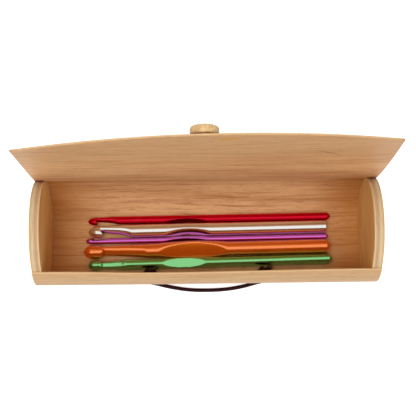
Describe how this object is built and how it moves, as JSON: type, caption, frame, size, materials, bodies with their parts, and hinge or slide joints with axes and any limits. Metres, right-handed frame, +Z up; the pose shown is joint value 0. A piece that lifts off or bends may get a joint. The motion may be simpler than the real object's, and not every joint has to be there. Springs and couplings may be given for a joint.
{
  "type": "crochet hook case",
  "caption": "Round wooden case on its side with a springy sheet flap, plywood end discs, a cord loop and button closure, holding crochet hooks",
  "frame": {"origin": "middle of the flat that the case stands on, on the surface below it", "axes": "+X along the case to the right, +Y from the front edge to the hinge line at the back, +Z up"},
  "size_m": [0.205, 0.0654, 0.1487],
  "materials": {
    "plywood": "sanded bare plywood, layers showing on the rim",
    "wood_sheet": "smooth thin wood sheet, fine grain along the case",
    "button_wood": "turned and sanded pale wood",
    "cord": "dark waxed cord, frayed at the knots",
    "red_metal": "glossy coloured anodised",
    "silver_metal": "polished",
    "purple_metal": "glossy coloured anodised",
    "orange_metal": "glossy coloured anodised",
    "green_metal": "glossy coloured anodised"
  },
  "bodies": {
    "case": {"left_end_disc": "plywood", "right_end_disc": "plywood", "wrap_sheet": "wood_sheet", "cord_loop": "cord", "left_cord_knot": "cord", "right_cord_knot": "cord"},
    "flap_01": {"flap_strip_01": "wood_sheet"},
    "flap_02": {"flap_strip_02": "wood_sheet"},
    "flap_03": {"flap_strip_03": "wood_sheet"},
    "flap_04": {"flap_strip_04": "wood_sheet"},
    "flap_05": {"flap_strip_05": "wood_sheet"},
    "flap_06": {"flap_strip_06": "wood_sheet"},
    "flap_07": {"flap_strip_07": "wood_sheet"},
    "flap_08": {"flap_strip_08": "wood_sheet"},
    "flap_09": {"flap_strip_09": "wood_sheet"},
    "flap_10": {"flap_strip_10": "wood_sheet"},
    "flap_11": {"flap_strip_11": "wood_sheet"},
    "flap_12": {"flap_strip_12": "wood_sheet", "flap_button": "button_wood"},
    "red_hook": {"red_hook": "red_metal"},
    "silver_hook": {"silver_hook": "silver_metal"},
    "purple_hook": {"purple_hook": "purple_metal"},
    "orange_hook": {"orange_hook": "orange_metal"},
    "green_hook": {"green_hook": "green_metal"}
  },
  "joints": [
    {"name": "flap_close", "type": "hinge", "parent": "case", "child": "flap_01", "pos_m": [0, 0.02821, 0.0422], "axis": [-1, 0, 0], "range_deg": [-16.5, 0], "stiffness_Nm_per_rad": 0.25, "springref_deg": 0.1},
    {"name": "flap_bend_02", "type": "hinge", "parent": "flap_01", "child": "flap_02", "pos_m": [0, 0.02731, 0.05076], "axis": [-1, 0, 0], "range_deg": [-22.78, 0], "stiffness_Nm_per_rad": 0.21, "springref_deg": 0.08},
    {"name": "flap_bend_03", "type": "hinge", "parent": "flap_02", "child": "flap_03", "pos_m": [0, 0.02652, 0.05933], "axis": [-1, 0, 0], "range_deg": [-15.43, 0], "stiffness_Nm_per_rad": 0.175, "springref_deg": 0.06},
    {"name": "flap_bend_04", "type": "hinge", "parent": "flap_03", "child": "flap_04", "pos_m": [0, 0.02583, 0.06791], "axis": [-1, 0, 0], "range_deg": [-15.43, 0], "stiffness_Nm_per_rad": 0.14, "springref_deg": 0.05},
    {"name": "flap_bend_05", "type": "hinge", "parent": "flap_04", "child": "flap_05", "pos_m": [0, 0.02526, 0.0765], "axis": [-1, 0, 0], "range_deg": [-15.43, 0], "stiffness_Nm_per_rad": 0.115, "springref_deg": 0.04},
    {"name": "flap_bend_06", "type": "hinge", "parent": "flap_05", "child": "flap_06", "pos_m": [0, 0.02479, 0.0851], "axis": [-1, 0, 0], "range_deg": [-14.71, 0], "stiffness_Nm_per_rad": 0.085, "springref_deg": 0.03},
    {"name": "flap_bend_07", "type": "hinge", "parent": "flap_06", "child": "flap_07", "pos_m": [0, 0.02433, 0.0937], "axis": [-1, 0, 0], "range_deg": [-14.71, 0], "stiffness_Nm_per_rad": 0.06, "springref_deg": 0.02},
    {"name": "flap_bend_08", "type": "hinge", "parent": "flap_07", "child": "flap_08", "pos_m": [0, 0.02386, 0.10229], "axis": [-1, 0, 0], "range_deg": [-14.71, 0], "stiffness_Nm_per_rad": 0.042, "springref_deg": 0},
    {"name": "flap_bend_09", "type": "hinge", "parent": "flap_08", "child": "flap_09", "pos_m": [0, 0.0234, 0.11089], "axis": [-1, 0, 0], "range_deg": [-14.71, 0], "stiffness_Nm_per_rad": 0.027, "springref_deg": -0.02},
    {"name": "flap_bend_10", "type": "hinge", "parent": "flap_09", "child": "flap_10", "pos_m": [0, 0.02293, 0.11949], "axis": [-1, 0, 0], "range_deg": [-14.71, 0], "stiffness_Nm_per_rad": 0.015, "springref_deg": -0.06},
    {"name": "flap_bend_11", "type": "hinge", "parent": "flap_10", "child": "flap_11", "pos_m": [0, 0.02247, 0.12808], "axis": [-1, 0, 0], "range_deg": [-14.71, 0], "stiffness_Nm_per_rad": 0.0065, "springref_deg": -0.15},
    {"name": "flap_bend_12", "type": "hinge", "parent": "flap_11", "child": "flap_12", "pos_m": [0, 0.022, 0.13668], "axis": [-1, 0, 0], "range_deg": [-17.3, 0], "stiffness_Nm_per_rad": 0.0023, "springref_deg": -0.46},
    {"name": "red_lift", "type": "slide", "parent": "case", "child": "red_hook", "axis": [0, 0, 1], "range_m": [0, 0.075]},
    {"name": "silver_lift", "type": "slide", "parent": "case", "child": "silver_hook", "axis": [0, 0, 1], "range_m": [0, 0.075]},
    {"name": "purple_lift", "type": "slide", "parent": "case", "child": "purple_hook", "axis": [0, 0, 1], "range_m": [0, 0.075]},
    {"name": "orange_lift", "type": "slide", "parent": "case", "child": "orange_hook", "axis": [0, 0, 1], "range_m": [0, 0.075]},
    {"name": "green_lift", "type": "slide", "parent": "case", "child": "green_hook", "axis": [0, 0, 1], "range_m": [0, 0.075]}
  ],
  "couplings": [
    {"joint": "flap_bend_02", "follows": "flap_close", "ratio": 1.3792},
    {"joint": "flap_bend_03", "follows": "flap_close", "ratio": 0.93409},
    {"joint": "flap_bend_04", "follows": "flap_close", "ratio": 0.93409},
    {"joint": "flap_bend_05", "follows": "flap_close", "ratio": 0.93409},
    {"joint": "flap_bend_06", "follows": "flap_close", "ratio": 0.89015},
    {"joint": "flap_bend_07", "follows": "flap_close", "ratio": 0.89015},
    {"joint": "flap_bend_08", "follows": "flap_close", "ratio": 0.89015},
    {"joint": "flap_bend_09", "follows": "flap_close", "ratio": 0.89015},
    {"joint": "flap_bend_10", "follows": "flap_close", "ratio": 0.89015},
    {"joint": "flap_bend_11", "follows": "flap_close", "ratio": 0.89015},
    {"joint": "flap_bend_12", "follows": "flap_close", "ratio": 1.0472}
  ]
}
